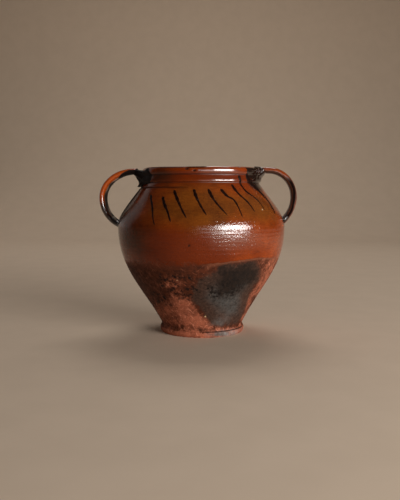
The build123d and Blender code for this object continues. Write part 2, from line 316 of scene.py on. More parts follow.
# Small chips and pits: azimuth, height, half width, half height, depth
CHIPS = (
    (-13.0, 226.9, 2.6, 1.2, 0.9), (-6.0, 224.5, 1.7, 1.3, 0.8), (38, 229.6, 1.8, 1.0, 0.6),
    (121, 229.3, 3.0, 1.6, 0.9), (-150, 229.5, 2.4, 1.2, 0.8), (171, 229.6, 1.6, 1.0, 0.6),
    (-7.3, 129.6, 1.1, 1.1, 0.7), (-20, 87.8, 1.4, 1.2, 0.7), (-23.5, 73, 1.6, 1.3, 0.7),
    (-36.6, 62, 1.3, 1.1, 0.6), (56, 49, 2.4, 1.6, 0.9), (-12, 4, 3.0, 2.2, 0.8),
    (24, 2.5, 3.4, 2.0, 0.9), (-48, 9.5, 2.4, 1.4, 0.8), (140, 4, 3.2, 2.0, 0.9),
    (-120, 3, 2.6, 2.0, 0.8), (95, 60, 1.6, 1.3, 0.6), (-160, 90, 1.5, 1.5, 0.6),
)


def around(points, azimuth):
    """A value that changes with azimuth, through given points, closed round the jar."""
    return np.interp(azimuth, *np.transpose(points), period=360)


def glaze_depth(azimuth, height, points):
    """Height above the edge of the glaze, which is uneven, in steps of its fade."""
    edge = around(GLAZE_LINE, azimuth) + layered(points, GLAZE_WAVER)
    return (height - edge) / around(GLAZE_FADE, azimuth)


def off_spot(azimuth, height, spot_azimuth, spot_height, half_width, half_height):
    """The squared distance from a spot on the outside, in its own half sizes."""
    across = np.radians(wrapped(azimuth - spot_azimuth)) * outside_radius(spot_height) / half_width
    return across**2 + ((height - spot_height) / half_height) ** 2


def chips(azimuth, height):
    """Each chip's depth and its mark, which is 1 in its middle and 0 outside it."""
    return [(depth, np.exp(-(off_spot(azimuth, height, *spot) ** 1.5))) for *spot, depth in CHIPS]


def waves(table, azimuth, height):
    """Waves round the jar, added up."""
    angle = np.radians(azimuth)
    return sum(depth * np.sin(n * angle + start + twist * height) for depth, n, start, twist in table)


def bulge(azimuth, height, points):
    """How far the outside stands out from its section."""
    angle = np.radians(azimuth)
    total = waves(OUT_OF_ROUND, azimuth, height) * ease(20, 120, height)
    waver = layered(points, RIDGE_WAVER)
    ridges = 0
    for depth, pitch, turns, share in RIDGES:
        ridges = ridges + depth * np.sin(2 * math.pi * height / pitch + turns * angle + share * waver)
    ridges = ridges * (RIDGE_MEAN + layered(points, RIDGE_FADING))
    total += ridges * (1 - RIDGES_SMOOTHED * ease(198, 206, height))
    total += layered(points, WALL_LUMPS)
    above = glaze_depth(azimuth, height, points)
    coated = ease(-0.6, 0.9, above)
    total += coated * (GLAZE_COAT + GLAZE_BEAD * (1 - ease(0.9, 3.5, above)))
    total += (1 - ease(-1, 1, above)) * layered(points, BARE_GRAIN)
    for depth, middle, half in JOINT_MARKS:
        total += depth * band(height, middle, half)
    open_crease = stretch(wrapped(azimuth), *CREASE_STRETCH)
    total -= CREASE_DEPTH * open_crease * band(height, CREASE_HEIGHT, CREASE_HALF)
    for depth, mark in chips(azimuth, height):
        total -= depth * mark
    lean = FOOT_LEAN * np.sin(angle) * (1 - ease(14, 70, height))
    return (total - MEAN_PROUD) * ease(0, 6, height) + lean


def rim_rise(azimuth, height):
    """The lip isn't quite level."""
    return (waves(RIM_WAVES, azimuth, height) - RIM_DROP) * ease(GROOVE_HEIGHT, JAR_HEIGHT - 2, height)


# What the fire and the scouring left on the clay: outlines in azimuth and height, and how strong the
# scoured clay gets in them and low on the foot
CLOUD = (
    (-9, 55), (3, 33), (14, 20), (34, 15), (57, 14), (61, 24), (53, 46), (49, 60), (52, 78), (46, 97),
    (38, 107), (18, 107), (11, 97), (2, 90), (-6, 76),
)
CLOUD_CORE = ((11, 93), (14, 105), (36, 106), (46, 95), (47, 78), (34, 71), (28, 60), (11, 60))
SCOURED = (
    (-26, 84), (-18, 85), (-9, 72), (-9, 55), (3, 33), (16, 18), (20, 11), (-34, 11), (-33, 30),
    (-29, 53),
)
MARGIN = ((50, 70), (49, 58), (54, 46), (60, 34), (62, 20), (78, 14), (84, 60), (72, 80), (56, 82))
OUTLINE_RADIUS = 85.0
SCOUR_MM = 12
SCOUR_FADE = (66, 46)
MARGIN_MM = 1.0
FOOT_WEAR = 1.5
FOOT_WEAR_HEIGHT = 12

# Blobs: azimuth, height, half spans of both, strength
BACK_CORE = ((168, 74, 26, 24, 0.8),)
BACK_GREY = ((172, 58, 34, 38, 0.9), (26, 4, 13, 4, 0.4))
TERRA = ((-46, 28, 22, 20, 0.35), (62, 94, 14, 18, 0.1), (-150, 40, 30, 30, 0.8), (110, 40, 30, 34, 0.8))
SPECKED = ((-18, 75, 25, 25, 1.0), (18, 70, 20, 16, 1.0), (-46, 56, 20, 20, 0.5), (160, 60, 50, 40, 0.8))
SMOKE = (
    (-54, 136, 24, 34, 1.0), (-62, 165, 20, 30, 0.7), (-84, 150, 30, 45, 0.8), (128, 140, 30, 32, 0.8),
    (-42, 217, 24, 12, 0.9),
)
AMBER = ((0, 178, 56, 38, 1.0), (44, 178, 40, 30, 0.9), (165, 180, 60, 28, 0.9))
DEEP = (
    (-8, 128, 58, 52, 0.95), (0, 216, 80, 15, 0.95), (-160, 130, 60, 40, 0.8), (100, 214, 60, 14, 0.8),
)
# Dark pooled glaze round the handles' ends; along the left limb beside the left handle it is partly
# painted shade
POOL = (
    (-84, 216, 33, 14, 1.0), (-90, 188, 27, 42, 1.0), (-94, 160, 15, 22, 1.0), (74, 217, 25, 12, 1.0),
    (84, 157, 11, 14, 0.8), (62, 208, 18, 13, 1.0),
)
# Dark, dull blobs. Beside the left handle the dark is partly pooled glaze and partly painted shade, and
# on the flange's top at the left it is painted shade.
DULL_DARK_BLOBS = (
    (-88, 190, 24, 46, 1.0), (88, 206, 14, 16, 0.7), (-78, 10, 26, 5, 0.45), (82, 9.5, 12, 4, 0.6),
    (150, 9, 30, 4, 0.35), (-34, 121, 18, 20, 0.2),
)
ASH = ((34, 4, 44, 9, 0.9), (36, 23, 24, 13, 0.38))
# Patches made of blobs: share of the warp, where they start and where they are full
PATCHES = {
    "smoke_and_shade": (SMOKE, 0.18, -0.25, 0.75), "amber": (AMBER, 0.14, -0.1, 0.7),
    "deep_red_and_painted_light": (DEEP, 0.12, -0.2, 0.6), "pool_and_shade": (POOL, 0.12, -0.02, 0.5), "ash": (ASH, 0.3, 0, 0.7),
}
BLOB_MM = 25.0
CHIP_BARES = 200
PATCH_WARP = ((1.0, 22, 21), (0.6, 9, 22))

# Pale crumbs stuck to the outside: azimuth, height, size
CRUMBS = ((4.7, 31.2, 1.3), (-18.2, 83.3, 0.8), (48, 173.5, 1.2))

# Dark lines in the foot's cut, and painted shade in the groove, crease and cove: height, half height,
# strength, stretch
ALL_ROUND = (-361, -360, 360, 361)
DARK_AND_SHADE_LINES = (
    (FOOT_LINE_HEIGHT, 0.8, 1.0, (-8, 10, 70, 82)),
    (GROOVE_HEIGHT, 0.9, 0.7, ALL_ROUND),
    (CREASE_HEIGHT, 1.2, 0.75, (-120, -100, -25, -8)),
    (COVE_HEIGHT + 0.3, 0.9, 0.45, ALL_ROUND),
)
# Dark stretches on top of the lip: strength, stretch
DARK_LIP = ((1.0, (-18, -11, 2, 8)), (0.6, (-75, -50, -18, -10)))


def spread(blobs, azimuth, height):
    """The strongest of some blobs at each point, falling off evenly to their edges and beyond."""
    total = np.full_like(height, -1.0)
    for blob_azimuth, blob_height, half_angle, half_height, strength in blobs:
        across = wrapped(azimuth - blob_azimuth) / half_angle
        up = (height - blob_height) / half_height
        total = np.maximum(total, strength * (1 - np.sqrt(across**2 + up**2)))
    return total


def inside(outline, azimuth, height):
    """How far inside an outline each point lies, in millimetres, and below zero outside it."""
    scale = math.radians(1) * OUTLINE_RADIUS
    x = wrapped(azimuth) * scale
    nearest = np.full_like(height, 1000.0)
    within = np.zeros(height.shape, bool)
    for (a0, z0), (a1, z1) in zip(outline, outline[1:] + outline[:1]):
        x0 = a0 * scale
        dx = a1 * scale - x0
        dz = z1 - z0
        share = np.clip(((x - x0) * dx + (height - z0) * dz) / (dx * dx + dz * dz), 0, 1)
        nearest = np.minimum(nearest, np.hypot(x - x0 - share * dx, height - z0 - share * dz))
        crosses = (z0 > height) != (z1 > height)
        within ^= crosses & (x < x0 + (height - z0) * dx / (dz or 1.0))
    return np.where(within, nearest, -nearest)


def dull_dark_and_shade(azimuth, height):
    """Dark, dull marks: dark lines in the foot's cut, painted shade in lines round the collar, dark
    stretches on the lip, and dark blobs, some of them painted shade.
    """
    azimuth = wrapped(azimuth)
    lip_top = ease(JAR_HEIGHT - 2.3, JAR_HEIGHT - 1.2, height)
    marks = [ease(0.0, 0.6, spread(DULL_DARK_BLOBS, azimuth, height))]
    for middle, half, strength, where in DARK_AND_SHADE_LINES:
        marks.append(strength * band(height, middle, half) * stretch(azimuth, *where))
    for strength, where in DARK_LIP:
        marks.append(strength * lip_top * stretch(azimuth, *where))
    return np.clip(np.max(marks, axis=0), 0, 1)


def fields(azimuth, height, points):
    """What the clay's material reads, one value for each point of the outside."""
    at = (azimuth, height)
    warp = layered(points, PATCH_WARP)
    core = np.maximum(inside(CLOUD_CORE, *at), BLOB_MM * spread(BACK_CORE, *at))
    grey = np.maximum(inside(CLOUD, *at), BLOB_MM * spread(BACK_GREY, *at))
    terra = np.max(
        [
            np.minimum(inside(SCOURED, *at), SCOUR_MM * ease(*SCOUR_FADE, height)),
            np.minimum(inside(MARGIN, *at), MARGIN_MM),
            BLOB_MM * spread(TERRA, *at),
            FOOT_WEAR * (FOOT_WEAR_HEIGHT - height),
        ],
        axis=0,
    )
    chipped = np.max([mark for _, mark in chips(*at)], axis=0)
    crumbs = [np.exp(-off_spot(*at, *spot, size, size)) for *spot, size in CRUMBS]
    patches = {
        name: ease(start, full, spread(blobs, *at) + share * warp)
        for name, (blobs, share, start, full) in PATCHES.items()
    }
    return {
        "glaze": glaze_depth(*at, points) - CHIP_BARES * chipped * ease(0.3, 0.7, chipped),
        "crisp": ease(5, 1, around(GLAZE_FADE, azimuth)),
        "core": core + 4 * warp,
        "grey": grey + 3 * warp,
        "terra": terra + 4 * warp,
        "specked": spread(SPECKED, *at) + 0.2 * warp,
        **patches,
        # Dark, dull marks, partly painted shade, and darkened chips
        "dull_dark_and_shade": np.maximum(dull_dark_and_shade(*at), 0.8 * chipped * ease(112, 120, height)),
        "peel": 1 - 0.75 * ease(172, 202, height),
        "crumbs": np.max(crumbs, axis=0),
    }


PLAIN_FIELDS = {
    "glaze": 30.0, "crisp": 0.0, "core": -50.0, "grey": -50.0, "terra": -50.0, "specked": -1.0,
    "smoke_and_shade": 0.0, "amber": 0.0, "deep_red_and_painted_light": 0.0, "pool_and_shade": 0.0, "dull_dark_and_shade": 0.0, "peel": 0.6, "ash": 0.0,
    "crumbs": 0.0,
}
INSIDE_FIELDS = {**PLAIN_FIELDS, "smoke_and_shade": 0.75, "amber": 0.5, "deep_red_and_painted_light": 0.5, "pool_and_shade": 0.25}
UNDER_FIELDS = {**PLAIN_FIELDS, "glaze": -30.0, "grey": -8.0, "terra": 12.0, "smoke_and_shade": 0.2}


# Pieces from grids of points
SHARP_ANGLE = math.radians(50)
FAN_STRIP = 0.06
FAN_MARGIN = 0.1
SQUARE = np.array([(0, 0), (1, 0), (1, 1), (0, 1)])


def put(name, data):
    """A new object in the scene."""
    thing = bpy.data.objects.new(name, data)
    bpy.context.scene.collection.objects.link(thing)
    return thing


def finish_piece(name, mesh, node):
    """A piece from its mesh, on the jar's body and in place of its node."""
    mesh.validate()
    mesh.update()
    mesh.shade_smooth()
    piece = put(name, mesh)
    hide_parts(node)
    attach(piece, "root")
    return piece


def quads(rows, columns, start=0, closed=False):
    """Faces of a grid whose columns close on themselves, and whose rows may."""
    ring = np.arange(columns)
    after = np.roll(ring, -1)
    faces = []
    for row in range(rows if closed else rows - 1):
        low = start + row * columns
        high = start + (row + 1) % rows * columns
        faces.append(np.stack([low + ring, low + after, high + after, high + ring], 1))
    return np.concatenate(faces).tolist()


def lay_out(mesh, rows, columns, capped):
    """A flat layout: round the piece along U and along its section up V, fans in strips on top."""
    strips = rows - 1 if capped else rows
    top = 1 - 2 * FAN_STRIP if capped else 1
    row, column = np.indices((strips, columns)).reshape(2, -1, 1)
    cells = np.stack([column, row], -1) + SQUARE
    corners = [(cells / (columns, strips) * (1, top)).reshape(-1, 2)]
    if capped:
        ring = np.arange(columns)
        left = ring / columns
        right = (ring + 1) / columns
        middle = (left + right) / 2
        for fan, (first, second) in enumerate(((right, left), (left, right))):
            low = top + FAN_STRIP * fan
            base = np.full(columns, low + FAN_MARGIN * FAN_STRIP)
            tip = np.full(columns, low + (1 - FAN_MARGIN) * FAN_STRIP)
            corners.append(np.stack([first, base, second, base, middle, tip], 1).reshape(-1, 2))
    layer = mesh.uv_layers.new(name="OFBake")
    layer.data.foreach_set("uv", np.concatenate(corners).astype(np.float32).reshape(-1))


def add_piece(name, node, grid, values, capped=False):
    """A piece from a grid, with its masks: a closed ring of rows, or a tube capped by two fans."""
    rows, columns = grid.shape[:2]
    points = grid.reshape(-1, 3)
    faces = quads(rows, columns, closed=not capped)
    if capped:
        ring = np.arange(columns)
        after = np.roll(ring, -1)
        last = (rows - 1) * columns
        count = len(points)
        faces += np.stack([after, ring, np.full(columns, count)], 1).tolist()
        faces += np.stack([last + ring, last + after, np.full(columns, count + 1)], 1).tolist()
        points = np.vstack([points, grid[0].mean(0), grid[-1].mean(0)])
    mesh = bpy.data.meshes.new(name)
    mesh.from_pydata((points * MM).tolist(), [], faces)
    for key, value in values.items():
        attribute = mesh.attributes.new(key, "FLOAT", "POINT")
        flat = np.broadcast_to(np.asarray(value, float), (rows, columns)).reshape(-1)
        flat = np.concatenate([flat, np.full(len(points) - len(flat), flat[-1])])
        attribute.data.foreach_set("value", flat.astype(np.float32))
    lay_out(mesh, rows, columns, capped)
    piece = finish_piece(name, mesh, node)
    mesh.set_sharp_from_angle(angle=SHARP_ANGLE)
    return piece


def turned_piece(name, node, outer, inner, under=()):
    """A thrown piece: its outside follows the worked clay, and its inside has plainer rings."""
    section = np.vstack([part for part in (under, outer, inner) if len(part)])
    rows = len(section)
    row = np.arange(rows)[:, None]
    is_under = row < len(under)
    is_out = ~is_under & (row < rows - len(inner))
    is_ringed = (row > rows - len(inner)) & (row < rows - 1)
    azimuth = np.broadcast_to(AZIMUTHS, (rows, COLUMNS))
    height = np.broadcast_to(section[:, 1:2], (rows, COLUMNS))
    radius = np.broadcast_to(section[:, 0:1], (rows, COLUMNS))
    points = place(azimuth, radius, height)
    rings = INSIDE_RING_DEPTH * np.sin(2 * math.pi * height / INSIDE_RING_PITCH + np.radians(azimuth))
    rings = rings + layered(points, INSIDE_LUMPS)
    rings = rings * ease(FLANGE_HEIGHT, 30, height) * ease(5, 20, radius)
    moved = radius + is_out * bulge(azimuth, height, points) + is_ringed * rings
    lifted = height + rim_rise(azimuth, height) * ease(THROAT_RADIUS - 1, THROAT_RADIUS + 1, radius)
    values = fields(azimuth, height, points)
    for key in values:
        hidden = np.where(is_under, UNDER_FIELDS[key], INSIDE_FIELDS[key])
        values[key] = np.where(is_out, values[key], hidden)
    return add_piece(name, node, place(azimuth, moved, lifted), values, len(under) > 0)


def foot():
    """The flange swells like a barrel between the floor and the waist, with a line cut round it."""
    height = np.linspace(0, FLANGE_HEIGHT, 34)
    off = (height - FLANGE_SWELL_HEIGHT) / FLANGE_SWELL_HEIGHT
    radius = FLANGE_RADIUS - FLANGE_SWELL * off**2
    radius = radius - FOOT_LINE_DEPTH * band(height, FOOT_LINE_HEIGHT, FOOT_LINE_WIDTH / 2)
    outer = np.stack([radius, height], 1)
    under = level(FLOOR_EYE, radius[0] - 3, 0.0, 14)
    inner = level(WAIST_RADIUS - 2, FLOOR_EYE, FLANGE_HEIGHT, 20)
    turned_piece("jar_foot", "foot_disc", outer, inner, under)


def lower_wall():
    outer = evenly(np.vstack([[WALL_FOOT], OUTER_LOWER[: JOINT_ROW + 1]]), LOWER_STEP)
    inner = evenly(np.vstack([INNER_LOWER[JOINT_ROW::-1], [FLOOR_CORNER]]), INSIDE_STEP)
    turned_piece("jar_lower_wall", "lower_body", outer, inner)


def upper_wall():
    outer = evenly(np.vstack([OUTER_LOWER[JOINT_ROW:], OUTER_UPPER[1:]]), UPPER_STEP)
    throat = [(THROAT_RADIUS, NECK_HEIGHT)]
    inner = evenly(np.vstack([throat, INNER_UPPER[::-1], INNER_LOWER[:JOINT_ROW:-1]]), INSIDE_STEP)
    turned_piece("jar_shoulder", "shoulder", outer, inner)


def collar():
    top = LIP_RADIUS - LIP_ROUND
    mouth = top - THROAT_RADIUS
    rounding = arc((top, JAR_HEIGHT - mouth), mouth, 90, 180, 8)[1:]
    outer = np.vstack([evenly(COLLAR_OUTSIDE, COLLAR_STEP), rounding])
    throat = [(THROAT_RADIUS, JAR_HEIGHT - mouth), (THROAT_RADIUS, NECK_HEIGHT)]
    turned_piece("jar_collar", "collar", outer, evenly(throat, THROAT_STEP)[1:])


# Rolls of clay pressed over the inside joints
ROLL_SPAN = 8.6
ROLL_PROUD = 3.3
ROLL_SUNK = 0.3
ROLL_EDGE = ((0.10, 16, 41), (0.05, 5, 42))
ROLL_SWELL = ((0.14, 13, 43),)


def seam_roll(name, node, centre, run):
    """A roll of clay along one joint, uneven along its edges."""
    turn = np.radians(np.linspace(0, 360, 28, endpoint=False))
    azimuth = np.broadcast_to(AZIMUTHS, (len(turn), COLUMNS))
    line = place(AZIMUTHS, np.full(COLUMNS, centre[0]), np.full(COLUMNS, centre[1]))
    along = ROLL_SPAN * np.cos(turn)[:, None] * (1 + layered(line, ROLL_EDGE))
    off = ROLL_PROUD * np.sin(turn)[:, None]
    off = np.where(off > 0, off * (1 + layered(line, ROLL_SWELL)), off * ROLL_SUNK)
    radius = centre[0] + along * run[0] - off * run[1]
    height = centre[1] + along * run[1] + off * run[0]
    add_piece(name, node, place(azimuth, radius, height), INSIDE_FIELDS)


def seam_rolls():
    foot_run = (math.sin(FOOT_FLARE), math.cos(FOOT_FLARE))
    belly_run = INNER_LOWER[JOINT_ROW + 1] - INNER_LOWER[JOINT_ROW - 1]
    belly_run = belly_run / np.hypot(*belly_run)
    neck = (THROAT_RADIUS, NECK_HEIGHT)
    seam_roll("foot_seam_roll", "foot_seam_coil", FLOOR_CORNER, foot_run)
    seam_roll("belly_seam_roll", "belly_seam_coil", INNER_LOWER[JOINT_ROW], belly_run)
    seam_roll("neck_seam_roll", "neck_seam_coil", neck, (0, 1))


# Handles: a strap along a line in the plane of its heading, and clay worked over the wall at its ends
STRAP_THICKNESS = 8.6
STRAP_WIDTH_TOP = 30.0
STRAP_WIDTH_ROOT = 25.0
STRAP_STEP = 0.25
STRAP_SQUARENESS = 2.4
STRAP_SUNK = 2.2
STRAP_SWELL = 0.04
STRAP_SWELL_TURN = 9
ROOT_RUN = 14
MIDWAY = 0.45
STRAP_ROUGH = ((0.26, 17, 51), (0.14, 6, 52), (0.06, 2.4, 53))
INNER_EDGE_WAVER = ((0.22, 10, 56),)
SHADE_WAVER = ((4, 12, 55),)
DARK_TOP_WAVER = ((4, 9, 54),)
# The edge of the strap's inner face shifts along the strap and is soft. The painted shade fades across
# its line and spares the outer face, and dark glaze also comes from the collar.
INNER_EDGE_SHIFT = (20, 42)
INNER_EDGE_SOFT = 0.2
SHADE_FADE = (-8, 6)
OUTER_FACE = (0.3, 0.75)
DARK_TOP = (5, 15)
HANDLE_TURN = 4.8
HANDLE_RUN = 16.0
HANDLE_TILT = math.radians(3.5)
HANDLE_PULL = 0.55
PRESS_RADIUS = 6.0
PRESS_SOFT = 0.35
# Worked clay: its lumps, its reach along the strap's edges, how fully it spreads up and to the sides, how
# sharply it sags and hangs, how its skin thins and tucks in, and how far its back is sunk
CLAY_LUMPS = ((0.6, 6, 61), (0.35, 3.6, 62))
CLAY_SPREAD = ((0.1, 4, 64),)
CLAY_EDGE_REACH = 0.75
CLAY_FULL_UP = 0.7
CLAY_FULL_SIDE = 0.8
CLAY_BELOW_LIP = 1.5
SAG_SHARPNESS = 3
HANG_SHARPNESS = 1.3
SKIN_HOLD = 5
TUCK_DEPTH = 0.7
TUCK_SHARPNESS = 12
SUNK_WALL = (0.98, 0.98, 1.0)
SUNK_STRAP = 0.14

# A handle's place, bend and swell, then the thumb's hollow as out from the collar, depth and slant, then
# its painted light and shade: below what height shade is painted, how much of it the outer face keeps,
# where round it the inner face starts, how dark the painted shade on the inner face is, the tone that
# paints its outer part brighter below zero and darker above it, and how dull the dark parts are
LEFT_HANDLE = dict(
    side="left", heading=180 - HANDLE_TURN, top_drop=4.4, reach=23.0, bend=37.6, root_rise=3.0,
    swell_start=4, press=(3.4, 7.0, -0.178),
    looks=dict(
        shade_below=186, outer_shade=1.0, inner_edge=(0.45, -0.85), inner_shade=0.93, tone=-1.0, matt=0.0
    ),
)
RIGHT_HANDLE = dict(
    side="right", heading=-HANDLE_TURN, top_drop=3.5, reach=12.3, bend=36.5, root_rise=11.0,
    swell_start=5, press=(6.0, 1.6, 0.0),
    looks=dict(
        shade_below=217, outer_shade=0.3, inner_edge=(-0.05, -0.35), inner_shade=0.5, tone=0.1, matt=1.0
    ),
)

# The left wad's lowest line, as out and up from the jar's axis: a hollow, a drip and its return
LEFT_HANG = ((91.3, 216.3), (88.2, 211.0), (87.6, 207.0), (89.4, 203.6), (86.6, 204.4), (81.4, 207.2))

# Clay at a strap's end: length along the strap, spread to front and back, up and down over the wall,
# sag at the front, thickness, lumpiness and dullness
LEFT_UPPER = dict(
    length=15, sides=(50, 26), up=1.0, down=17, sag=8.0, thick=2.2, lumpy=0.7, matt=0.8, hang=LEFT_HANG
)
LEFT_LOWER = dict(length=13, sides=(7, 7), up=6, down=9, sag=0.0, thick=1.2, lumpy=1.0, matt=0.3)
RIGHT_UPPER = dict(length=9, sides=(44, 24), up=2.0, down=15, sag=0.0, thick=2.6, lumpy=3.0, matt=0.0)
RIGHT_LOWER = dict(length=11, sides=(6, 6), up=5, down=8, sag=0.0, thick=1.0, lumpy=1.0, matt=0.3)


class Handle:
    """One strap handle. Local points are (out from the axis, across the strap, up)."""

    AROUND = 96
    ALONG = 200
    FILLET_ROWS = 30
    HALVINGS = 40

    def __init__(self, side, heading, top_drop, reach, bend, root_rise, swell_start, press, looks):
        self.side = side
        self.looks = looks
        self.swell_start = swell_start
        self.front = 1 if side == "left" else -1
        self.heading = math.radians(heading)
        self.turn = np.radians(np.arange(self.AROUND) * 360 / self.AROUND)
        spring = (COLLAR_RADIUS + HANDLE_RUN, JAR_HEIGHT - top_drop)
        widest = (BELLY_RADIUS + reach, spring[1] - bend)
        pull = HANDLE_PULL * (widest[0] - spring[0])
        ahead = (spring[0] + math.cos(HANDLE_TILT) * pull, spring[1] - math.sin(HANDLE_TILT) * pull)
        over = bezier([spring, ahead, (widest[0], widest[1] + HANDLE_PULL * bend), widest], 160)
        drop = widest[1] - (BELLY_HEIGHT + root_rise)
        sweep = (reach**2 + drop**2) / (2 * reach)
        end = math.atan2(-drop, sweep - reach)
        down = arc((widest[0] - sweep, widest[1]), sweep, 0, math.degrees(end), 90)
        inward = np.array([math.sin(end), -math.cos(end)])
        start = THROAT_RADIUS - 2
        climb = math.tan(HANDLE_TILT)
        first = (start, spring[1] + (spring[0] - start) * climb)
        last = down[-1] + inward * ROOT_RUN
        self.line = evenly(np.vstack([[first], over, down[1:], [last]]), STRAP_STEP)
        run = np.gradient(self.line, axis=0)
        self.run = run / np.hypot(*run.T)[:, None]
        self.length = STRAP_STEP * (len(self.line) - 1)
        press_out, press_depth, self.press_slant = press
        self.press = COLLAR_RADIUS + press_out
        strap_top = spring[1] + (spring[0] - self.press) * climb + STRAP_THICKNESS / 2
        self.press_low = strap_top - press_depth

    def pressed(self, local):
        """Local points with the thumb's hollow across the strap next to the lip."""
        out, across, up = np.moveaxis(local, -1, 0)
        off = np.clip((out - self.press - self.press_slant * across) / PRESS_RADIUS, -1, 1)
        floor = self.press_low + PRESS_RADIUS * (1 - np.sqrt(1 - off**2))
        over = up - floor
        lowered = np.where(over > 0, floor + PRESS_SOFT * (1 - np.exp(-over / PRESS_SOFT)), up)
        return np.stack([out, across, lowered], -1)

    def surface(self, where, turn):
        """Local points of the strap's surface at distances along its line."""
        share = where / self.length
        index = np.clip(share, 0, 1) * (len(self.line) - 1)
        steps = np.arange(len(self.line))
        out, up = (np.interp(index, steps, self.line[:, i]) for i in (0, 1))
        run_out, run_up = (np.interp(index, steps, self.run[:, i]) for i in (0, 1))
        half_width = (STRAP_WIDTH_TOP + (STRAP_WIDTH_ROOT - STRAP_WIDTH_TOP) * share) / 2
        swell = 1 + STRAP_SWELL * np.sin(share * STRAP_SWELL_TURN + self.swell_start)
        half_thickness = STRAP_THICKNESS / 2 * swell
        flat = half_width - half_thickness
        squared = np.tanh(STRAP_SQUARENESS * np.cos(turn)) / math.tanh(STRAP_SQUARENESS)
        across = flat * squared + half_thickness * np.cos(turn)
        off = half_thickness * np.sin(turn)
        return np.stack([out - run_up * off, across, up + run_out * off], -1)

    def depth(self, where):
        """How far outside the wall, sideways, each line along the strap is at distances along it."""
        local = self.surface(where, self.turn)
        return np.hypot(local[..., 0], local[..., 1]) - outside_radius(local[..., 2])

    def meet(self, low, high, wanted):
        """Where each line along the strap comes to a depth, between two distances."""
        low = np.full(self.AROUND, low)
        high = np.full(self.AROUND, high)
        rising = self.depth(high) > self.depth(low)
        for _ in range(self.HALVINGS):
            middle = (low + high) / 2
            use_high = (self.depth(middle) > wanted) == rising
            high = np.where(use_high, middle, high)
            low = np.where(use_high, low, middle)
        return (low + high) / 2

    def ends(self, wanted):
        """Where the strap comes to a depth at the collar and at the belly."""
        far = self.length * MIDWAY
        return self.meet(0.0, far, wanted), self.meet(far, self.length, wanted)

    def out(self, local):
        """Local points in the jar's frame."""
        c = math.cos(self.heading)
        s = math.sin(self.heading)
        x = local[..., 0] * c - local[..., 1] * s
        y = local[..., 0] * s + local[..., 1] * c
        return np.stack([x, y, local[..., 2]], -1)

    def strap(self):
        """The strap, sunk into the wall at both ends, with painted shade, painted reflection and painted
        light, and dark glaze at its top end.
        """
        looks = self.looks
        start, end = self.ends(-STRAP_SUNK)
        where = start + (end - start) * np.linspace(0, 1, self.ALONG)[:, None]
        turn = np.broadcast_to(self.turn, where.shape)
        local = self.surface(where, turn)
        outward = local - self.surface(where, turn + math.pi)
        outward = outward / np.linalg.norm(outward, axis=-1, keepdims=True)
        points = self.out(local)
        local = self.pressed(local + outward * layered(points, STRAP_ROUGH)[..., None])
        near_top = where - start
        side = np.sin(turn) + layered(points, INNER_EDGE_WAVER)
        top_edge, low_edge = looks["inner_edge"]
        edge = top_edge + (low_edge - top_edge) * ease(*INNER_EDGE_SHIFT, near_top)
        inner = ease(INNER_EDGE_SOFT, -INNER_EDGE_SOFT, side - edge)
        # Painted shade: dark below a height, spared on the outer face as far as the looks say, and dark
        # on the inner face; the dark at the top end is glaze from the collar
        height = local[..., 2] + layered(points, SHADE_WAVER)
        dark = 1 - ease(*SHADE_FADE, height - looks["shade_below"])
        dark = dark * (1 - (1 - looks["outer_shade"]) * ease(*OUTER_FACE, side))
        dark_top = 1 - ease(*DARK_TOP, near_top + layered(points, DARK_TOP_WAVER))
        dark = np.maximum(dark, dark_top) * (1 - inner)
        inner_shade = looks["inner_shade"] * inner
        # On the inner face the amber, smoky and dark colours are painted reflection and shade; the tone
        # paints the outer part brighter below zero and darker above it
        values = {
            **PLAIN_FIELDS,
            "smoke_and_shade": 0.3 * inner,
            "amber": 0.1 + 0.9 * inner,
            "deep_red_and_painted_light": looks["tone"] * (1 - inner),
            "pool_and_shade": np.clip(np.maximum(dark, inner_shade), 0, 1),
            "dull_dark_and_shade": np.clip(np.maximum(0.9 * inner_shade, looks["matt"] * dark), 0, 1),
        }
        name, node = f"{self.side}_strap", f"{self.side}_handle"
        add_piece(name, node, self.out(local), values, True)

    def hung(self, curve, route):
        """Worked clay whose underside follows a route, out and up from the jar's axis."""
        share = (np.clip(-np.sin(self.turn), 0, 1) ** HANG_SHARPNESS)[None, :, None]
        out, up = smooth_route(np.array(route, float), len(curve)).T[..., None]
        across = curve[..., 1]
        lowest = np.stack([np.sqrt(out**2 - across**2), across, np.broadcast_to(up, across.shape)], -1)
        return curve + (lowest - curve) * share

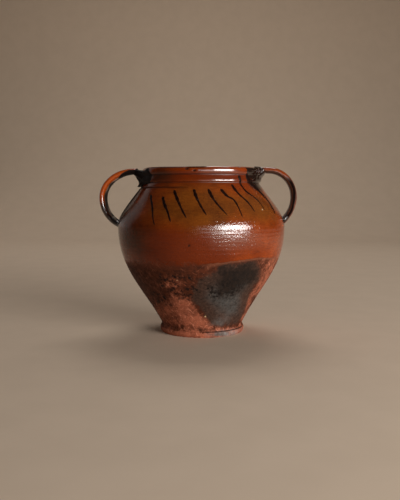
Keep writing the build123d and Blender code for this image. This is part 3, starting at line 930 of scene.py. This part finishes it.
    def fillet(
        self, end, corner_at, direction, length, sides, up, down, sag, thick, lumpy, matt, hang=()
    ):
        """A hollow curve of clay from the strap to the wall, closed by sunk points behind it."""
        lateral = np.cos(self.turn)
        upward = np.sin(self.turn)
        forward = lateral * self.front
        corner = self.surface(corner_at, self.turn)
        reach = length * (CLAY_EDGE_REACH + (1 - CLAY_EDGE_REACH) * np.abs(upward))
        on_strap = self.surface(corner_at + direction * reach, self.turn)
        rise = np.where(upward > 0, up, down) * np.sign(upward) * np.abs(upward) ** CLAY_FULL_UP
        height = corner[:, 2] + rise - sag * np.clip(forward, 0, 1) ** SAG_SHARPNESS
        height = np.minimum(height, JAR_HEIGHT - CLAY_BELOW_LIP)
        radius = outside_radius(height)
        sideways = np.where(forward > 0, *sides) * (1 + layered(self.out(corner), CLAY_SPREAD))
        shift = sideways * np.sign(lateral) * np.abs(lateral) ** CLAY_FULL_SIDE
        bearing = np.arctan2(corner[:, 1], corner[:, 0]) + shift / radius
        on_wall = np.stack([radius * np.cos(bearing), radius * np.sin(bearing), height], -1)
        t = np.linspace(0, 1, self.FILLET_ROWS)[:, None, None]
        curve = (1 - t) ** 2 * on_strap + 2 * t * (1 - t) * corner + t * t * on_wall
        if hang:
            curve = self.hung(curve, [(on_strap[0, 0], on_strap[:, 2].min()), *hang])
        flat = np.hypot(curve[..., 0], curve[..., 1])
        skin = thick * (1 - t[..., 0] ** SKIN_HOLD) - TUCK_DEPTH * t[..., 0] ** TUCK_SHARPNESS
        wanted = np.maximum(flat, outside_radius(curve[..., 2]) + skin)
        curve[..., :2] *= (wanted / flat)[..., None]
        sunk_wall = curve[-1] * np.array(SUNK_WALL)
        sunk_strap = on_strap + (on_strap.mean(0) - on_strap) * SUNK_STRAP
        lump = lumpy * np.abs(layered(self.out(curve), CLAY_LUMPS) * np.sin(math.pi * t[..., 0]))
        flat = np.hypot(curve[..., 0], curve[..., 1])
        curve[..., :2] *= (1 + lump / flat)[..., None]
        grid = np.concatenate([curve, [sunk_wall], [(sunk_wall + sunk_strap) / 2], [sunk_strap]])
        grid = self.out(self.pressed(grid))[::direction]
        values = {**PLAIN_FIELDS, "smoke_and_shade": 0.5, "amber": 0.5, "pool_and_shade": 1.0, "peel": 0.0, "dull_dark_and_shade": matt}
        add_piece(f"{self.side}_{end}_clay", f"{self.side}_{end}_wad", grid, values)

    def build(self, upper, lower):
        top, root = self.ends(0.0)
        self.strap()
        self.fillet("upper", top, 1, **upper)
        self.fillet("lower", root, -1, **lower)


# Slip strokes: a width and a route in azimuth and height for each at the front, then even
# ones round the back
FRONT_STROKES = (
    (3.4, (-45.2, 193), (-36.4, 176), (-30.2, 154)),
    (4.2, (-31.5, 190.5), (-27.6, 181.3), (-23, 171.5), (-19.3, 158.6)),
    (4.2, (-23.3, 199), (-16.5, 183), (-9.3, 163.6)),
    (4.2, (-6.3, 200), (-2.7, 186.3), (3.5, 167)),
    (4.2, (5.8, 200.5), (9.5, 186.3), (17.3, 166.7)),
    (4.2, (16.5, 200.5), (20.5, 191.3), (25.6, 184.6), (27.6, 164)),
    (4.2, (28.5, 206.5), (31, 195.5), (36.8, 182.8), (39.3, 170.3)),
    (4.2, (37.1, 218.6), (38.3, 210), (40.4, 198), (48.4, 186), (50.6, 172.4)),
    (10.0, (50.5, 221), (49.4, 214), (56.5, 205), (62.3, 193), (64.6, 182.4), (62, 167)),
)
BACK_STROKES = 12
BACK_START = 107.0
BACK_STEP = 12.0
BACK_WIDTH = 4.2
BACK_TOP = 198
BACK_DROP = 31
BACK_LEAN = 9.5
STROKE_ROWS = 46
STROKE_AROUND = 16
STROKE_PROUD = 0.4
STROKE_SUNK = 0.5
# Shares of a stroke's length, width or height: its blunt start and end, tip, taper and unevenness
STROKE_START = 0.06
STROKE_END = 0.05
STROKE_TIP = 0.02
STROKE_TAPER = 0.62
TAPER_CURVE = 1.3
STROKE_JITTER = 0.22
STROKE_THINNEST = 0.35
# Limits of slope on the shoulder
STEEPEST = 1.5
LEAST_RUN = 1e-6


def stroke_routes():
    """Each stroke's width and route, the listed ones first."""
    routes = [(width, np.array(route, float)) for width, *route in FRONT_STROKES]
    for index in range(BACK_STROKES):
        uneven = math.sin(index * index + 2)
        azimuth = BACK_START + index * BACK_STEP + 1.5 * uneven
        top = BACK_TOP + 2 * math.sin(3 * index)
        drop = BACK_DROP + 5 * uneven
        lean = BACK_LEAN + 2 * math.cos(5 * index)
        middle = (azimuth - 1.2 * math.cos(index), top - drop / 2)
        route = np.array([(azimuth - lean / 2, top), middle, (azimuth + lean / 2, top - drop)])
        routes.append((BACK_WIDTH, route))
    return routes


def stroke(index, width, route):
    """One stroke of slip, a raised bead that starts blunt and ends in a thin tip."""
    azimuth, height = smooth_route(route, STROKE_ROWS).T
    radius = outside_radius(height)
    across = np.gradient(np.radians(azimuth)) * radius
    slope = np.gradient(radius)
    up = np.gradient(height)
    steep = np.hypot(slope, up)
    along = steep * np.sign(up)
    size = np.hypot(across, along)
    share = np.linspace(0, 1, STROKE_ROWS)
    blunt = np.sqrt(np.clip(share / STROKE_START, 0, 1))
    blunt = blunt * np.sqrt(np.clip((1 - share) / STROKE_END, STROKE_TIP, 1))
    body = blunt * (1 - STROKE_TAPER * share**TAPER_CURVE)
    jitter = 1 + STROKE_JITTER * np.sin(share * 21 + index * 1.7) * np.sin(share * 8 + index)
    turn = np.radians(np.linspace(0, 360, STROKE_AROUND, endpoint=False))
    offset = (width / 2 * body * jitter)[:, None] * np.cos(turn)
    rise = np.where(np.sin(turn) > 0, STROKE_PROUD, STROKE_SUNK) * np.sin(turn)
    rise = rise * (STROKE_THINNEST + (1 - STROKE_THINNEST) * body[:, None])
    normal_out = np.abs(up) / np.maximum(steep, LEAST_RUN)
    lean = -slope / np.where(np.abs(up) < LEAST_RUN, LEAST_RUN, up)
    normal_up = np.clip(lean, -STEEPEST, STEEPEST) * normal_out
    new_azimuth = azimuth[:, None] - np.degrees(offset * (along / size / radius)[:, None])
    new_height = height[:, None] + offset * (across / size * normal_out)[:, None]
    base = outside_radius(new_height)
    lift = bulge(new_azimuth, new_height, place(new_azimuth, base, new_height))
    new_radius = base + lift + rise * normal_out[:, None]
    return place(new_azimuth, new_radius, new_height + rise * normal_up[:, None])


def add_strokes():
    points = []
    faces = []
    ring = np.arange(STROKE_AROUND)
    for index, (width, route) in enumerate(stroke_routes()):
        start = index * STROKE_ROWS * STROKE_AROUND
        last = start + (STROKE_ROWS - 1) * STROKE_AROUND
        points.append(stroke(index, width, route).reshape(-1, 3))
        faces += quads(STROKE_ROWS, STROKE_AROUND, start)
        faces += [(start + ring)[::-1].tolist(), (last + ring).tolist()]
    mesh = bpy.data.meshes.new("shoulder_strokes")
    mesh.from_pydata((np.concatenate(points) * MM).tolist(), [], faces)
    return finish_piece("shoulder_strokes", mesh, "slip_strokes")


# Materials. Gloss is the strength of the mirror layer, and the halo is the soft sheen round it.
GLOSS = 1.0
THIN_GLOSS = 0.25
CLAY_GLOSS = 0.15
SLIP_GLOSS = 0.1
HALO = 0.4
HALO_ROUGHNESS = 0.26
MATT_ROUGHNESS = 0.9
CERAMIC_IOR = 1.5
PEEL_SHARE = 0.52
RELIEF_MM = 0.48
SLIP_RELIEF_MM = 0.25

# Screen colours, from 0 to 255
TONES = {
    "red": (162, 68, 17), "red_dark": (138, 54, 12), "red_painted_light": (206, 88, 21),
    # The brightest red is painted light on a strap, and the darkest red and the near blacks also serve as
    # painted shade
    "red_deep_and_shade": (104, 36, 7), "amber": (124, 69, 20), "amber_dark": (104, 57, 18),
    "smoky": (70, 40, 24), "speck": (48, 24, 13), "streak": (76, 27, 8), "mottle": (80, 32, 10),
    "pooled_and_shade": (20, 11, 8),
    "clay": (92, 44, 24), "clay_dark": (60, 29, 16), "under_glaze": (146, 88, 62),
    "terra": (188, 109, 80), "terra_dark": (150, 84, 59), "terra_stain": (104, 54, 36),
    "scratch": (206, 128, 98), "grey_edge": (74, 51, 40), "grey": (82, 82, 79),
    "grey_brown": (58, 46, 39), "grey_dark": (36, 28, 23), "grey_pale": (112, 92, 80),
    "black": (22, 15, 11), "black_worn": (42, 30, 23), "ash": (150, 147, 143), "dot": (24, 16, 13),
    "dull_dark_and_shade": (18, 11, 9), "crumb": (206, 176, 132), "slip": (20, 10, 7), "slip_brown": (44, 20, 10),
    "paper": (214, 193, 170), "paper_pale": (217, 196, 173),
}


class Shader:
    """A node material, written as calls that return sockets. Colours go by their names in TONES."""

    def __init__(self, name):
        self.material = bpy.data.materials.new(name)
        self.material.use_nodes = True
        self.tree = self.material.node_tree
        self.tree.nodes.clear()
        self.place = self.add("ShaderNodeTexCoord").outputs["Object"]

    def add(self, kind, inputs=(), **settings):
        """A new node with its settings, and its inputs linked to sockets or set to values."""
        node = self.tree.nodes.new(kind)
        for key, value in settings.items():
            setattr(node, key, value)
        for key, value in dict(inputs).items():
            if isinstance(value, bpy.types.NodeSocket):
                self.tree.links.new(value, node.inputs[key])
            else:
                node.inputs[key].default_value = srgb(*TONES[value]) if value in TONES else value
        return node

    def math(self, operation, a, b, clamp=False):
        node = self.add("ShaderNodeMath", {0: a, 1: b}, operation=operation, use_clamp=clamp)
        return node.outputs[0]

    def times(self, a, b):
        return self.math("MULTIPLY", a, b)

    def plus(self, a, b):
        return self.math("ADD", a, b)

    def mix(self, share, a, b):
        """Two colours mixed."""
        return self.add("ShaderNodeMix", {0: share, 6: a, 7: b}, data_type="RGBA").outputs[2]

    def blend(self, share, a, b):
        """Two values mixed."""
        return self.add("ShaderNodeMix", {0: share, 2: a, 3: b}, data_type="FLOAT").outputs[0]

    def ramp(self, value, low, high, start=0.0, end=1.0):
        inputs = enumerate((value, low, high, start, end))
        node = self.add("ShaderNodeMapRange", inputs, interpolation_type="SMOOTHSTEP", clamp=True)
        return node.outputs[0]

    def noise(self, size_mm, detail=3.0, rough=0.55, warp=0.0, where=None):
        inputs = {"Scale": 1000 / size_mm, "Detail": detail, "Roughness": rough, "Distortion": warp}
        return self.add("ShaderNodeTexNoise", {"Vector": where or self.place, **inputs}).outputs[0]

    def cells(self, size_mm):
        inputs = {"Vector": self.place, "Scale": 1000 / size_mm}
        return self.add("ShaderNodeTexVoronoi", inputs).outputs["Distance"]

    def stretched(self, scale, where=None):
        return self.add("ShaderNodeMapping", {"Vector": where or self.place, "Scale": scale}).outputs[0]

    def wound(self, turns_per_metre):
        """Places wound about the jar's axis with height, so that what runs up there runs aslant here."""
        height = self.add("ShaderNodeSeparateXYZ", {0: self.place}).outputs[2]
        inputs = {"Vector": self.place, "Angle": self.times(height, turns_per_metre * 2 * math.pi)}
        return self.add("ShaderNodeVectorRotate", inputs, rotation_type="Z_AXIS").outputs[0]

    def value(self, name):
        return self.add("ShaderNodeAttribute", attribute_name=name).outputs["Fac"]

    def bump(self, height, strength, distance_mm):
        inputs = {"Height": height, "Strength": strength, "Distance": distance_mm * MM}
        return self.add("ShaderNodeBump", inputs).outputs[0]

    def finish(self, **inputs):
        inputs = {key.replace("_", " "): value for key, value in inputs.items()}
        surface = self.add("ShaderNodeBsdfPrincipled", inputs)
        self.add("ShaderNodeOutputMaterial", {0: surface.outputs[0]})
        return self.material


def glaze_colour(s, fine, small, broad):
    """Red brown, amber on the shoulder, smoky on one side, nearly black where it pooled, and the straps'
    painted light and shade.
    """
    deep_red_and_painted_light = s.value("deep_red_and_painted_light")
    red = s.mix(s.ramp(broad, 0.35, 0.68), "red", "red_dark")
    # Below zero, painted light: the left strap's outer part brighter; above zero, darker red, which on
    # the right strap is painted shade
    red = s.mix(s.ramp(deep_red_and_painted_light, 0.0, -1.0), red, "red_painted_light")
    red = s.mix(s.math("MULTIPLY", deep_red_and_painted_light, 0.92, clamp=True), red, "red_deep_and_shade")
    amber = s.mix(s.ramp(broad, 0.35, 0.65), "amber", "amber_dark")
    # Amber and smoky colour; on the straps' inner faces both are painted reflection and shade
    glaze = s.mix(s.times(s.value("amber"), 0.9), red, amber)
    smoky = s.times(s.value("smoke_and_shade"), s.ramp(small, 0.25, 0.7, 0.6, 1.0))
    glaze = s.mix(smoky, glaze, "smoky")
    specks = s.ramp(s.cells(3.4), 0.12, 0.20, 1.0, 0.0)
    specks = s.times(specks, s.ramp(s.noise(9, 2), 0.5, 0.62))
    glaze = s.mix(s.times(specks, 0.6), glaze, "speck")
    streaks = s.noise(1.8, 3, 0.6, 0, s.stretched((0.16, 0.16, 1.0)))
    glaze = s.mix(s.ramp(streaks, 0.45, 0.75, 0.0, 0.35), glaze, "streak")
    glaze = s.mix(s.ramp(fine, 0.3, 0.75, 0.0, 0.3), glaze, "mottle")
    # Near black where glaze pooled, and where shade is painted on the straps and beside the left handle
    return s.mix(s.times(s.value("pool_and_shade"), 0.96), glaze, "pooled_and_shade")


def clay_colour(s, fine, small, broad, scratches):
    """Dark red brown, scoured through to terracotta, with a black and grey fire cloud."""
    ragged = s.plus(s.times(s.noise(7, 5, 0.62), 0.6), s.times(s.noise(2.4, 4, 0.65), 0.4))
    ragged = s.math("SUBTRACT", ragged, 0.5)

    def zone(name, roughly, low, high):
        return s.ramp(s.plus(s.value(name), s.times(ragged, roughly)), low, high)

    clay = s.mix(s.ramp(small, 0.3, 0.7), "clay", "clay_dark")
    terra = s.mix(s.ramp(fine, 0.3, 0.7), "terra", "terra_dark")
    terra = s.mix(s.ramp(s.noise(11, 3), 0.42, 0.66, 0.0, 0.65), terra, "terra_stain")
    is_terra = zone("terra", 34, -3, 7)
    clay = s.mix(is_terra, clay, terra)
    clay = s.mix(s.times(scratches, s.blend(is_terra, 0.15, 0.85)), clay, "scratch")
    grey = s.mix(s.ramp(s.value("grey"), 8, 28), "grey_edge", "grey")
    grey = s.mix(s.ramp(broad, 0.35, 0.7, 0.0, 0.6), grey, "grey_brown")
    flecks = s.noise(3.2, 4, 0.7)
    grey = s.mix(s.ramp(flecks, 0.50, 0.62, 0.0, 0.55), grey, "grey_dark")
    grey = s.mix(s.ramp(flecks, 0.44, 0.34, 0.0, 0.4), grey, "grey_pale")
    clay = s.mix(s.times(zone("grey", 24, -4.0, 4.0), 0.94), clay, grey)
    black = s.mix(s.ramp(small, 0.35, 0.7), "black", "black_worn")
    clay = s.mix(s.times(zone("core", 52, -10, 10), 0.96), clay, black)
    clay = s.mix(s.times(s.value("ash"), s.ramp(small, 0.3, 0.7, 0.65, 0.25)), clay, "ash")
    specked = s.value("specked")
    dots = s.times(s.ramp(s.cells(6.4), 0.33, 0.43, 1.0, 0.0), s.ramp(s.noise(9, 3), 0.44, 0.52))
    dots = s.times(dots, s.ramp(specked, 0.0, 0.3))
    flaws = s.times(s.ramp(s.noise(6.0, 5, 0.62), 0.57, 0.62), s.ramp(specked, 0.1, 0.45))
    dots = s.math("MAXIMUM", dots, flaws)
    return s.mix(s.times(dots, 0.9), clay, "dot")


def redware():
    """Red clay, glazed above an uneven line and bare and fire-marked below it."""
    s = Shader("redware")
    dull_dark_share = s.value("dull_dark_and_shade")
    fine = s.noise(1.6, 4, 0.6)
    small = s.noise(5, 4, 0.6)
    broad = s.noise(26, 4, 0.55)
    down_right = s.noise(4.2, 3, 0.6, 0.5, s.stretched((1.0, 1.0, 0.16), s.wound(1.1)))
    down_left = s.noise(4.2, 3, 0.6, 0.5, s.stretched((1.0, 1.0, 0.18), s.wound(-1.6)))
    scratches = s.math("MAXIMUM", s.ramp(down_right, 0.59, 0.64), s.ramp(down_left, 0.62, 0.67))

    above = s.plus(s.value("glaze"), s.times(s.math("SUBTRACT", small, 0.5), 1.6))
    is_glaze = s.ramp(above, -0.4, 0.4)
    clay = clay_colour(s, fine, small, broad, scratches)
    under_edge = s.times(s.ramp(above, -4.0, -0.5), s.ramp(above, -0.4, 0.2, 1.0, 0.0))
    under_edge = s.times(under_edge, s.times(s.value("crisp"), 0.45))
    clay = s.mix(under_edge, clay, "under_glaze")
    colour = s.mix(is_glaze, clay, glaze_colour(s, fine, small, broad))
    # Near black and dull: dark marks, partly painted shade in the collar's lines, on the straps and
    # beside the left handle
    colour = s.mix(s.times(dull_dark_share, 0.92), colour, "dull_dark_and_shade")
    colour = s.mix(s.ramp(s.value("crumbs"), 0.3, 0.6), colour, "crumb")

    smear = s.noise(3.0, 3, 0.6, 0, s.stretched((0.3, 0.3, 1.6)))
    glaze_rough = s.ramp(smear, 0.3, 0.75, 0.04, 0.12)
    clay_rough = s.ramp(small, 0.3, 0.7, 0.66, 0.88)
    rough = s.blend(dull_dark_share, s.blend(is_glaze, clay_rough, glaze_rough), MATT_ROUGHNESS)

    peel = s.plus(s.noise(2.2, 2, 0.5), s.times(s.ramp(s.cells(2.8), 0.05, 0.4), 0.5))
    turning = s.noise(1.5, 3, 0.6, 0, s.stretched((0.10, 0.10, 1.0)))
    skin = s.times(s.plus(peel, s.times(turning, 0.7)), s.times(s.value("peel"), PEEL_SHARE))
    grain = s.plus(s.times(s.noise(0.9, 4, 0.65), 0.8), s.times(scratches, -0.4))
    normal = s.bump(s.blend(is_glaze, grain, skin), 1.0, RELIEF_MM)
    glaze_gloss = s.ramp(above, 3.0, 27.0, THIN_GLOSS, GLOSS)
    gloss = s.blend(dull_dark_share, s.blend(is_glaze, CLAY_GLOSS, glaze_gloss), 0.0)
    return s.finish(
        Base_Color=colour, Roughness=rough, Normal=normal, IOR=CERAMIC_IOR, Specular_IOR_Level=gloss,
        Coat_Weight=s.times(gloss, HALO), Coat_Roughness=HALO_ROUGHNESS,
    )


def dark_slip():
    """Iron-dark slip under the glaze."""
    s = Shader("dark_slip")
    small = s.noise(2.2, 3)
    return s.finish(
        Base_Color=s.mix(s.ramp(small, 0.4, 0.75), "slip", "slip_brown"),
        Roughness=s.ramp(small, 0.3, 0.7, 0.35, 0.55),
        Normal=s.bump(s.noise(1.4, 3), 0.4, SLIP_RELIEF_MM),
        IOR=CERAMIC_IOR,
        Specular_IOR_Level=SLIP_GLOSS,
    )


def plain_backdrop():
    s = Shader("pale_paper")
    tone = s.mix(s.ramp(s.noise(60, 2), 0.3, 0.7), "paper", "paper_pale")
    return s.finish(Base_Color=tone, Roughness=MATT_ROUGHNESS)


# The stage, in metres: a pale floor that curves up behind the jar
FLOOR_FRONT = -6.0
FLOOR_BACK = 3.0
FLOOR_SIDE = 9.0
FLOOR_BEND = 1.2
FLOOR_TOP = 3.0
BEND_STEPS = 24


def stage():
    """The floor, which isn't part of the jar."""
    bend = arc((FLOOR_BACK - FLOOR_BEND, FLOOR_BEND), FLOOR_BEND, -90, 0, BEND_STEPS + 1)
    section = [(FLOOR_FRONT, 0.0), *bend.tolist(), (FLOOR_BACK, FLOOR_TOP)]
    points = [(x, y, z) for y, z in section for x in (-FLOOR_SIDE, FLOOR_SIDE)]
    faces = [(2 * i, 2 * i + 1, 2 * i + 3, 2 * i + 2) for i in range(len(section) - 1)]
    mesh = bpy.data.meshes.new("floor")
    mesh.from_pydata(points, [], faces)
    mesh.shade_smooth()
    mesh.materials.append(plain_backdrop())
    put("floor", mesh)


# Soft studio lights: name, place, target, width and height in metres, watts, colour
JAR_MIDDLE = (0, 0, 0.13)
LAMPS = (
    ("key", (1.21, -1.30, 0.40), JAR_MIDDLE, 1.2, 0.5, 29, (1.0, 0.97, 0.94)),
    ("window", (0.72, -1.60, 0.24), JAR_MIDDLE, 1.9, 0.25, 5, (1.0, 0.97, 0.95)),
    ("side", (-1.78, 1.5, 0.85), JAR_MIDDLE, 1.75, 1.7, 2.7, (1.0, 0.96, 0.94)),
    ("over", (0.1, 1.4, 2.2), (0, 0.8, 0.0), 1.3, 1.0, 17, (1.0, 0.97, 0.94)),
)
ROOM_COLOUR = srgb(190, 172, 154)
ROOM_LIGHT = 0.06


def lights():
    for name, spot, target, wide, tall, watts, colour in LAMPS:
        data = bpy.data.lights.new(name, "AREA")
        data.shape = "RECTANGLE"
        data.size = wide
        data.size_y = tall
        data.energy = watts
        data.color = colour
        lamp = put(name, data)
        lamp.location = spot
        x, y, z = (t - p for t, p in zip(target, spot))
        lamp.rotation_euler = (math.atan2(math.hypot(x, y), -z), 0, math.atan2(-x, y))
    world = bpy.data.worlds.new("room")
    world.use_nodes = True
    background = world.node_tree.nodes["Background"]
    background.inputs[0].default_value = ROOM_COLOUR
    background.inputs[1].default_value = ROOM_LIGHT
    bpy.context.scene.world = world


# The camera, as solved from the photograph
FOCAL_PX = 659.4
FRAME_HEIGHT_PX = 500
SENSOR_MM = 36.0
CAMERA_MM = (-1.56, -935.0, 192.0)
CAMERA_DOWN = 4.74
CAMERA_FAR = 20


def camera():
    data = bpy.data.cameras.new("camera")
    data.sensor_fit = "VERTICAL"
    data.sensor_height = SENSOR_MM
    data.lens = SENSOR_MM * FOCAL_PX / FRAME_HEIGHT_PX
    data.clip_end = CAMERA_FAR
    eye = put("camera", data)
    eye.location = [v * MM for v in CAMERA_MM]
    eye.rotation_euler = (math.radians(90 - CAMERA_DOWN), 0, 0)
    bpy.context.scene.camera = eye


def main():
    camera()
    foot()
    lower_wall()
    upper_wall()
    collar()
    seam_rolls()
    Handle(**LEFT_HANDLE).build(LEFT_UPPER, LEFT_LOWER)
    Handle(**RIGHT_HANDLE).build(RIGHT_UPPER, RIGHT_LOWER)
    strokes = add_strokes()
    clay = redware()
    slip = dark_slip()
    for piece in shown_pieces():
        piece.data.materials.clear()
        piece.data.materials.append(slip if piece == strokes else clay)
    stage()
    lights()
    bpy.context.scene.view_settings.view_transform = "Standard"


main()
